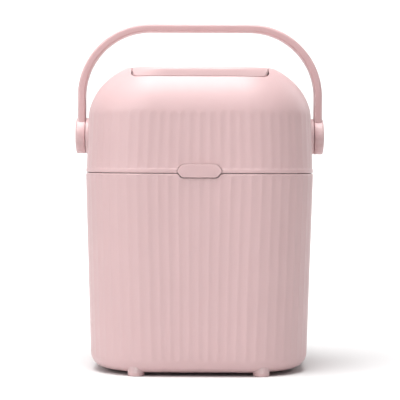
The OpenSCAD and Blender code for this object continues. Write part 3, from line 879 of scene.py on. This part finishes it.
def make_lid_seal():
    """A ring with two soft lips round the plug."""
    outer = PLUG_INSET - 1.1
    loop = [(PLUG_Z + 0.3, PLUG_INSET - 0.05), (PLUG_Z + 0.45, PLUG_INSET - 0.6), (PLUG_Z + 0.9, outer),
            (PLUG_Z + 1.25, outer + 0.05), (PLUG_Z + 1.6, PLUG_INSET - 0.55),
            (PLUG_Z + 2.2, PLUG_INSET - 0.55), (PLUG_Z + 2.6, outer + 0.05), (PLUG_Z + 2.95, outer),
            (PLUG_Z + 3.35, PLUG_INSET - 0.6), (PLUG_Z + 3.4, PLUG_INSET - 0.05)]
    rings = [inner_level(PLAIN, body_size(z), z, inset) for z, inset in loop]
    piece = Shape().add(stack(rings, wrap=True)).object("lid_seal_lipped")
    finish_piece(piece, "lid", "silicone_seal", ["lid_seal"], 60)


def make_tray():
    x0, x1, y0, y1, r = THROAT
    floor = FRAME_Z - 36
    t = 1.6

    def outer(z, grow):
        return slab(x0 - grow, x1 + grow, y0 - grow, y1 + grow, max(r - 1.6 + grow, 2), z, 10)

    def flange(z, inset):
        """The screwed flange: its front corners are round enough to clear the dome."""
        front, back, half, bend = y0 - 2.6 + inset, y1 + 6 - inset, FRAME_HALF_W - inset, 17.5 - inset
        points = (arc(half - bend, front + bend, bend, -90, 0, 19) + [(half, back), (-half, back)]
                  + arc(-half + bend, front + bend, bend, 180, 270, 19) + [(x, front) for x in (-12, 12)])
        return np.array([(x, y, z) for x, y in points])

    rings = [outer(floor, 0.2), outer(floor + 0.25, t - 0.6), outer(floor + 1.2, t), outer(FRAME_Z - 1.9, t),
             flange(FRAME_Z - 1.5, 0.2), flange(FRAME_Z - 1.3, 0), flange(FRAME_Z - 0.2, 0),
             flange(FRAME_Z, 0.2), outer(FRAME_Z, 0.3), outer(FRAME_Z - 0.3, 0), outer(floor + t + 1.5, 0),
             outer(floor + t + 0.4, -0.4), outer(floor + t, -1.5)]
    piece = Shape().add(stack(rings)).object("scoop_tray_moulded")
    finish_piece(piece, "lid", "milky_liner", ["scoop_tray"])


def make_tray_screws():
    shape = Shape()
    for x in (-39.8, 39.8):
        for y in (-26, -13):
            shape.add(lathe([(0.8, -2.9), (1.7, -2.85), (2.1, -2.5), (2.2, -2.1), (2.2, -1.5), (1.1, -1.5),
                             (1.1, 1.9), (0.6, 2.4)], "z", (x, y, FRAME_Z), 32))
    piece = shape.object("tray_screws_turned")
    finish_piece(piece, "lid", "steel", ["tray_screws"])


def make_scoop():
    low, high = node_box("scoop")
    r = (high[1] - low[1]) / 2
    cx = low[0] + r
    cy = (low[1] + high[1]) / 2 - box_y
    z0 = low[2]
    h = high[2] - low[2]
    profile = [(r - 3, 0), (r - 1.5, 0.15), (r - 1, 0.7), (r - 0.1, h - 0.5), (r - 0.2, h - 0.1),
               (r - 0.6, h), (r - 1.1, h - 0.1), (r - 1.3, h - 0.5), (r - 2.15, 2.2), (r - 2.6, 1.4),
               (r - 3.6, 1.2)]
    shape = Shape().add(lathe(profile, "z", (cx, cy, z0), 72))
    end = high[0] - cx
    grip = rounded([(r - 1.5, -4.2), (26, -3.2), (end, -4.4), (end, 4.4), (26, 3.2), (r - 1.5, 4.2)],
                   [0, 12, 4.2, 4.2, 12, 0], 8)
    shape.add(plate([(cx + x, cy + y) for x, y in grip], z0 + h - 1.8, z0 + h, "z", 0.45))
    rib = rounded([(r - 0.8, -6), (r + 36, -2.6), (r + 40, -1.6), (r - 0.8, -1.6)], [0, 3, 0.3, 0], 4)
    shape.add(plate([(cx + x, z0 + h + z) for x, z in rib], cy - 0.8, cy + 0.8, "y", 0.35))
    piece = shape.object("scoop_moulded")
    finish_piece(piece, "lid", "clear_scoop", ["scoop"])


# ---------------------------------------------------------------- hatch
def hatch_outline(gap, back):
    """Plan of the hatch grown by gap: straight sides, round front corners and the dome's own curve."""
    hx, hy, r = lid_size(HATCH_Z)
    cx, cy = hx - r, hy - r
    sx = HATCH_HALF_W - HATCH_CORNER_R
    sy = cy + math.sqrt((r - HATCH_CORNER_R) ** 2 - (sx - cx) ** 2)
    turn = math.degrees(math.atan2(sy - cy, sx - cx))
    right = [(HATCH_HALF_W + gap, y) for y in np.linspace(back, -sy, 25)[:-1]]
    right += arc(sx, -sy, HATCH_CORNER_R + gap, 0, -turn, 14)
    right += arc(cx, -cy, r + gap, -turn, -90, 20)[1:]
    left = [(-x, y) for x, y in reversed(right)]
    return (right + left)[::-1]


def door_height(x, y):
    """Height of the hatch's outer face over points in plan, found by halving."""
    low = np.full(np.shape(x), HATCH_Z)
    high = np.full(np.shape(x), HATCH_TOP)
    hy_foot = lid_size(HATCH_Z)[1]
    for _ in range(26):
        mid = (low + high) / 2
        lean = LID_STEP + (mid - SEAM_Z) * math.tan(LID_DRAFT)
        inset = DOME_A * (1 - np.sqrt(1 - ((mid - DOME_Z) / DOME_B) ** 2))
        turn = np.clip(LIP_R - (HATCH_TOP - mid), 0, LIP_R)
        lip = (mid - HATCH_Z) * LIP_LEAN + LIP_R - np.sqrt(LIP_R ** 2 - turn ** 2)
        r = CORNER_R - DOME_CORNER_RATIO * inset
        qx = np.abs(x) - (BOX_W / 2 - lean - inset - r)
        qy = np.abs(y) - (hy_foot - lip - r)
        outside = np.hypot(np.maximum(qx, 0), np.maximum(qy, 0)) + np.minimum(np.maximum(qx, qy), 0) - r
        low = np.where(outside <= 0, mid, low)
        high = np.where(outside <= 0, high, mid)
    return low


def door_ring(inset, height_inset, drop, back):
    """A ring of the door at a plan inset, at the height of its outer face at another inset, less drop."""
    x, y = np.array(hatch_outline(-inset, back)).T
    outer = np.array(hatch_outline(-height_inset, min(back, HATCH_AXIS_Y))).T
    return np.column_stack([x, y, np.maximum(door_height(*outer) - drop, HATCH_Z + 0.3)])


def hatch_skin():
    """The raised door between the slits: a steep rounded lip in front, and hollow below."""
    edge = 0.4
    rings = []
    for inset in (7, 5.5, 4.6, 3.8, 3.2, 2.7, 2.3, HATCH_T):
        rings.append(door_ring(inset, inset - HATCH_T, HATCH_T, HATCH_AXIS_Y - 1.2 - 0.3 * (inset - HATCH_T)))
    for inset, lift in ((HATCH_T, 0.25), (HATCH_T - 0.25, 0), (0.25, 0), (0, 0.25)):
        back = HATCH_AXIS_Y - (1.2 if inset > 1 else 0)
        x, y = np.array(hatch_outline(-inset, back)).T
        rings.append(np.column_stack([x, y, np.full(len(x), HATCH_Z + lift)]))
    for inset in (0, 0.03, 0.08, 0.15, 0.25, 0.4, 0.6, 0.8, 1.0, 1.2, 1.45, 1.7, 2, 2.4, 2.9, 3.5,
                  4.2, 5, 6, 7):
        near = max(edge - inset, 0)
        rounding = edge - math.sqrt(edge ** 2 - near ** 2)
        rings.append(door_ring(inset, inset, rounding, HATCH_AXIS_Y - 0.3 * inset))
    return stack(rings)


def throat_ring(inset, z):
    x0, x1, y0, y1, r = THROAT
    return slab(x0 + inset, x1 - inset, y0 + inset, y1 - inset, r - inset, z, 10)


def make_hatch():
    shape = Shape().add(hatch_skin())
    shape.add(bar_x(HATCH_T, -HATCH_HALF_W, HATCH_HALF_W, HATCH_AXIS_Y, HATCH_AXIS_Z, 0.3, 40))
    piece = shape.object("hatch_door_moulded")
    skirt_top = HATCH_TOP - 1
    skirt = Shape().add(stack([throat_ring(1, HATCH_Z - 0.02), throat_ring(1, skirt_top),
                               throat_ring(2.6, skirt_top), throat_ring(2.6, HATCH_Z - 0.02)], wrap=True))
    join(piece, skirt.object("skirt"))
    finish_piece(piece, "hatch", "pink_shell", ["hatch_door"])
    low = HATCH_Z - 2.4
    loop = [(0.95, HATCH_Z - 0.02), (0.8, HATCH_Z - 0.5), (1.3, HATCH_Z - 1.2), (0.85, low + 0.6),
            (1.0, low + 0.15), (1.5, low), (2.3, low), (2.8, low + 0.4), (2.7, HATCH_Z - 0.3),
            (2.5, HATCH_Z - 0.02)]
    rings = [throat_ring(inset, z) for inset, z in loop]
    seal = Shape().add(stack(rings[::-1], wrap=True)).object("hatch_seal_lipped")
    finish_piece(seal, "hatch", "silicone_seal", ["hatch_seal"], 60)
    make_pin("hatch_pin", "lid", HATCH_AXIS_Y, HATCH_AXIS_Z)


# ---------------------------------------------------------------- latch
def make_latch():
    arm_y = -BOX_D / 2 + 3.4
    shape = Shape().add(plate(tab_outline(0), -BOX_D / 2 - 0.5, arm_y + 0.2, "y", 0.42, 5))
    arm = rounded([(-8, SEAM_Z - 8.5), (8, SEAM_Z - 8.5), (8, LATCH_AXIS_Z), (-8, LATCH_AXIS_Z)],
                  [1, 1, 0, 0], 4)
    shape.add(plate(arm, arm_y, arm_y + 1.4, "y", 0.3))
    hook = [(arm_y + 0.3, SEAM_Z - 8.4), (arm_y + 0.3, SEAM_Z - 5.6), (arm_y - 0.5, SEAM_Z - 6.5)]
    shape.add(plate(hook, -5, 5, "x", 0.08, 2))
    shape.add(bar_x(LATCH_R, -8, 8, LATCH_AXIS_Y, LATCH_AXIS_Z, 0.3, 40))
    finish_piece(shape.object("latch_button_moulded"), "latch", "pink_shell", ["latch_button"])
    make_pin("latch_pin", "lid", LATCH_AXIS_Y, LATCH_AXIS_Z)
    make_spring()


def make_spring():
    low, high = node_box("latch_spring")
    wire = 0.3
    radius = (high[0] - low[0]) / 2 - wire
    centre = np.array([0, 0, (low[2] + high[2]) / 2])
    turns = 4
    steps = 24 * turns
    start = low[1] - box_y + wire
    length = high[1] - low[1] - 2 * wire
    angle = np.arange(steps + 1) * 2 * math.pi * turns / steps
    path = np.column_stack([radius * np.cos(angle), start + length * np.arange(steps + 1) / steps,
                            radius * np.sin(angle)]) + centre
    ups = [(math.cos(a), 0, math.sin(a)) for a in angle]
    section = [(wire * math.cos(t), wire * math.sin(t)) for t in np.arange(10) * 2 * math.pi / 10]
    piece = Shape().add(sweep(path, ups, section)).object("latch_spring_coiled")
    finish_piece(piece, "lid", "steel", ["latch_spring"], 60)
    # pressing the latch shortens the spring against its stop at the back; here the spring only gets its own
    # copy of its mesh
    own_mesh(piece)


# ---------------------------------------------------------------- handle
def bail_sweep():
    """The strap swept from hub to hub; its outer edges are rounder than its inner ones."""
    half_t, half_w = STRAP_T / 2, STRAP_W / 2
    mid = BAIL_HW - half_t
    bend = BAIL_R - half_t
    top = BAIL_TOP - half_t
    turn_z = top - bend
    turn_x = mid - bend
    arm = (2, 6, 10, 14, 18)
    path = [(-mid, PIVOT_Z + z) for z in arm]
    ups = [(-1, 0)] * len(arm)

    def add_bend(centre_x, start, end):
        for t in np.radians(np.linspace(start, end, 31)):
            ups.append((math.cos(t), math.sin(t)))
            path.append((centre_x + bend * math.cos(t), turn_z + bend * math.sin(t)))

    add_bend(-turn_x, 180, 90)
    for x in np.linspace(-turn_x, turn_x, 10)[1:-1]:
        path.append((x, top))
        ups.append((0, 1))
    add_bend(turn_x, 90, 0)
    path += [(mid, PIVOT_Z + z) for z in reversed(arm)]
    ups += [(1, 0)] * len(arm)
    section = rounded([(-half_w, -half_t), (half_w, -half_t), (half_w, half_t), (-half_w, half_t)],
                      [0.9, 0.9, 1.5, 1.5], 7)
    path3 = [(x, 0, z) for x, z in path]
    ups3 = [(u, 0, w) for u, w in ups]
    return sweep(path3, ups3, section)


def hub_eye():
    bore = BOSS_R + 0.06
    profile = [(bore, EYE_X), (HUB_R - 0.6, EYE_X), (HUB_R - 0.15, EYE_X + 0.18), (HUB_R, EYE_X + 0.6),
               (HUB_R, EYE_OUT), (8.3, EYE_OUT), (8.3, EYE_OUT - 1.4), (bore, EYE_OUT - 1.4)]
    return ring_lathe(profile, "x", PIVOT, 96)


def make_handle():
    shape = Shape().add(bail_sweep())
    eye = hub_eye()
    shape.add(eye).add(mirrored(eye))
    finish_piece(shape.object("bail_handle_moulded"), "handle", "pink_handle", ["bail_handle"])
    cap_t = node_box("hub_cap_right")[1][0] - EYE_OUT
    dome = [(HUB_R, 0.0), (HUB_R, 0.12), (HUB_R - 0.12, 0.4), (HUB_R - 0.45, 0.68), (HUB_R - 1.2, 0.88),
            (HUB_R - 3.2, cap_t - 0.18), (HUB_R - 6, cap_t - 0.04), (2.0, cap_t)]
    inside = [(2.0, 0.75), (6.9, 0.75), (7.0, -0.45), (8.2, -0.45), (8.2, 0.0)]
    cap = lathe([(r, EYE_OUT + h) for r, h in inside + dome], "x", PIVOT, 96)
    for side, part in (("right", cap), ("left", mirrored(cap))):
        piece = Shape().add(part).object("hub_cap_" + side + "_moulded")
        finish_piece(piece, "handle", "pink_handle", ["hub_cap_" + side])


def make_pivots():
    boss_out = EYE_OUT - 1.3
    head = EYE_OUT + 0.6
    washer_out = boss_out + 0.7
    boss = ring_lathe([(SCREW_R, BOSS_IN), (8.7, BOSS_IN), (9, BOSS_IN + 0.3), (9, BOSS_SEAT),
                       (BOSS_R, BOSS_SEAT), (BOSS_R, boss_out - 0.2), (BOSS_R - 0.2, boss_out),
                       (SCREW_R, boss_out)], "x", PIVOT, 64)
    washer = ring_lathe([(SCREW_R, boss_out), (7.75, boss_out), (7.9, boss_out + 0.15),
                         (7.9, boss_out + 0.55), (7.75, washer_out), (SCREW_R, washer_out)], "x", PIVOT, 64)
    screw = lathe([(1.0, BOSS_IN + 1), (SCREW_R, BOSS_IN + 1.6), (SCREW_R, washer_out), (3.2, washer_out),
                   (3.2, boss_out + 1.1), (2.9, head - 0.25), (2.2, head), (1.3, head), (1.0, head - 0.5),
                   (0.3, head - 0.7)], "x", PIVOT, 48)
    rows = (("pivot_boss_", boss, "milky_liner"), ("pivot_washer_", washer, "steel"),
            ("pivot_screw_", screw, "steel"))
    for name, part, slot in rows:
        for side, solid in (("right", part), ("left", mirrored(part))):
            piece = Shape().add(solid).object(name + side + "_turned")
            finish_piece(piece, "lid", slot, [name + side])


# ---------------------------------------------------------------- studio
def area_light(name, place, target, size, power):
    data = bpy.data.lights.new(name, "AREA")
    data.shape = "RECTANGLE"
    data.size, data.size_y = size
    data.energy = power
    light = bpy.data.objects.new(name, data)
    light.location = place
    aim = Vector(target) - Vector(place)
    light.rotation_euler = aim.to_track_quat("-Z", "Y").to_euler()
    link(light)


def make_stage():
    """A pale floor that curves up into a backdrop behind the box."""
    width, front, back, height, bend = 7.0, -5.0, 1.6, 4.0, 0.8
    profile = [(front, 0.0), (back - bend, 0.0)]
    for k in range(1, 13):
        t = math.radians(90 * k / 12)
        profile.append((back - bend + bend * math.sin(t), bend * (1 - math.cos(t))))
    profile.append((back, height))
    verts = [(x, y, z) for y, z in profile for x in (-width, width)]
    faces = [(2 * k, 2 * k + 1, 2 * k + 3, 2 * k + 2) for k in range(len(profile) - 1)]
    mesh = bpy.data.meshes.new("studio_sweep")
    mesh.from_pydata(verts, [], faces)
    mesh.shade_smooth()
    material, tree, principled = shader("studio_paper", 0.9)
    coords = node(tree, "ShaderNodeTexCoord").outputs["Object"]
    cloud = spread(tree, noise(tree, coords, 3, 2), 0, 1)
    tone = two_tones(tree, cloud, (0.80, 0.80, 0.80), (0.82, 0.82, 0.82))
    tree.links.new(tone, principled.inputs["Base Color"])
    principled.inputs["Specular IOR Level"].default_value = 0.1
    mesh.materials.append(material)
    floor = bpy.data.objects.new("studio_sweep", mesh)
    link(floor)


def make_lights():
    world = bpy.data.worlds.new("studio_world")
    world.use_nodes = True
    background = world.node_tree.nodes["Background"]
    background.inputs["Color"].default_value = (1, 1, 1, 1)
    background.inputs["Strength"].default_value = 0.2
    bpy.context.scene.world = world
    middle = (0, 0, 0.11)
    area_light("key_light", (-1.0, -0.7, 0.7), middle, (1.2, 1.0), 5.2)
    area_light("front_top_light", (-0.25, -0.75, 1.15), middle, (0.8, 0.5), 2.6)
    area_light("top_light", (-0.1, -0.2, 1.2), middle, (0.9, 0.7), 17.0)
    area_light("backdrop_light", (0, 0.5, 0.9), (0, 1.6, 0.5), (2.4, 0.4), 17.0)
    area_light("rim_light", (0.9, 0.7, 0.6), middle, (0.5, 0.8), 2.0)


def make_camera():
    """Almost square on from 1 m away, looking a little down, as in the photo."""
    aside, distance, height = 0.00034, 1.0, 0.128
    down, turned = 1.59, 0.27
    data = bpy.data.cameras.new("camera")
    data.lens = 148.7
    data.sensor_width = 36
    camera = bpy.data.objects.new("camera", data)
    look = Matrix.Rotation(math.radians(90 - down), 4, "X")
    roll = Matrix.Rotation(math.radians(turned), 4, "Z")
    camera.matrix_world = Matrix.Translation((aside, -distance, height)) @ look @ roll
    link(camera)
    bpy.context.scene.camera = camera


make_camera()
make_stage()
make_lights()
make_body()
for foot_name in FEET:
    make_foot(foot_name)
make_tub()
make_leveller()
make_pin("hinge_pin", "base", HINGE_Y, SEAM_Z, 0.25, 40)
make_lid()
make_liner()
make_lid_seal()
make_tray()
make_tray_screws()
make_scoop()
make_hatch()
make_latch()
make_handle()
make_pivots()

bpy.context.scene.view_settings.view_transform = "Standard"
bpy.context.scene.view_settings.look = "None"
